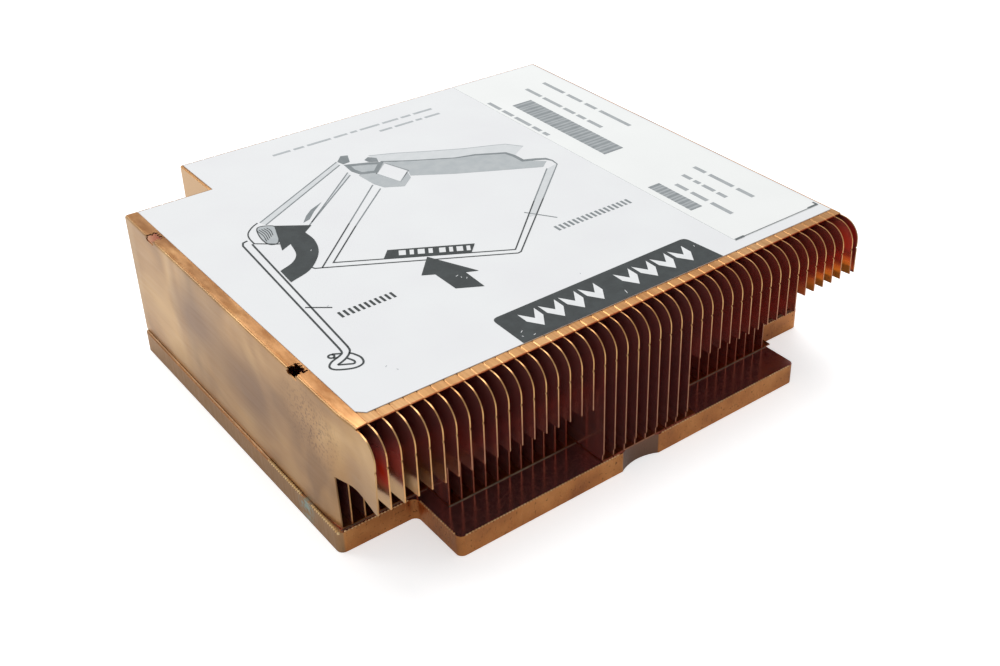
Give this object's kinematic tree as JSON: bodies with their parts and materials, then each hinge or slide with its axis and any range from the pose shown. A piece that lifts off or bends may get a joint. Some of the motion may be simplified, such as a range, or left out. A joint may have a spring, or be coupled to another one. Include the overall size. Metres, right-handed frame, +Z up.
{
  "type": "passive server cpu heatsink",
  "caption": "Low copper heatsink for a server processor: folded zipper fins with rounded front wings on a stepped copper base, with a white label on the roof.",
  "frame": {"origin": "middle of the part, seen from above, on the underside of the base plate", "axes": "+Z up from the processor, +X along the front from left to right, -Y towards the front wings"},
  "size_m": [0.0878, 0.084, 0.0247],
  "materials": {
    "base_copper": "machined bare copper, slightly tarnished, with a little green patina on the left side",
    "fin_copper": "rolled bare copper sheet, bright on cut edges and clouded on the end fin",
    "label_paper": null,
    "sticker_paper": null
  },
  "bodies": {
    "root": {"base_plate": "base_copper", "fin_01": "fin_copper", "fin_02": "fin_copper", "fin_03": "fin_copper", "fin_04": "fin_copper", "fin_05": "fin_copper", "fin_06": "fin_copper", "fin_07": "fin_copper", "fin_08": "fin_copper", "fin_09": "fin_copper", "fin_10": "fin_copper", "fin_11": "fin_copper", "fin_12": "fin_copper", "fin_13": "fin_copper", "fin_14": "fin_copper", "fin_15": "fin_copper", "fin_16": "fin_copper", "fin_17": "fin_copper", "fin_18": "fin_copper", "fin_19": "fin_copper", "fin_20": "fin_copper", "fin_21": "fin_copper", "fin_22": "fin_copper", "fin_23": "fin_copper", "fin_24": "fin_copper", "fin_25": "fin_copper", "fin_26": "fin_copper", "fin_27": "fin_copper", "fin_28": "fin_copper", "fin_29": "fin_copper", "fin_30": "fin_copper", "fin_31": "fin_copper", "fin_32": "fin_copper", "fin_33": "fin_copper", "fin_34": "fin_copper", "fin_35": "fin_copper", "fin_36": "fin_copper", "fin_37": "fin_copper", "fin_38": "fin_copper", "fin_39": "fin_copper", "fin_40": "fin_copper", "fin_41": "fin_copper", "fin_42": "fin_copper", "fin_43": "fin_copper", "fin_44": "fin_copper", "fin_45": "fin_copper", "instruction_label": "label_paper", "part_sticker": "sticker_paper"}
  },
  "joints": []
}
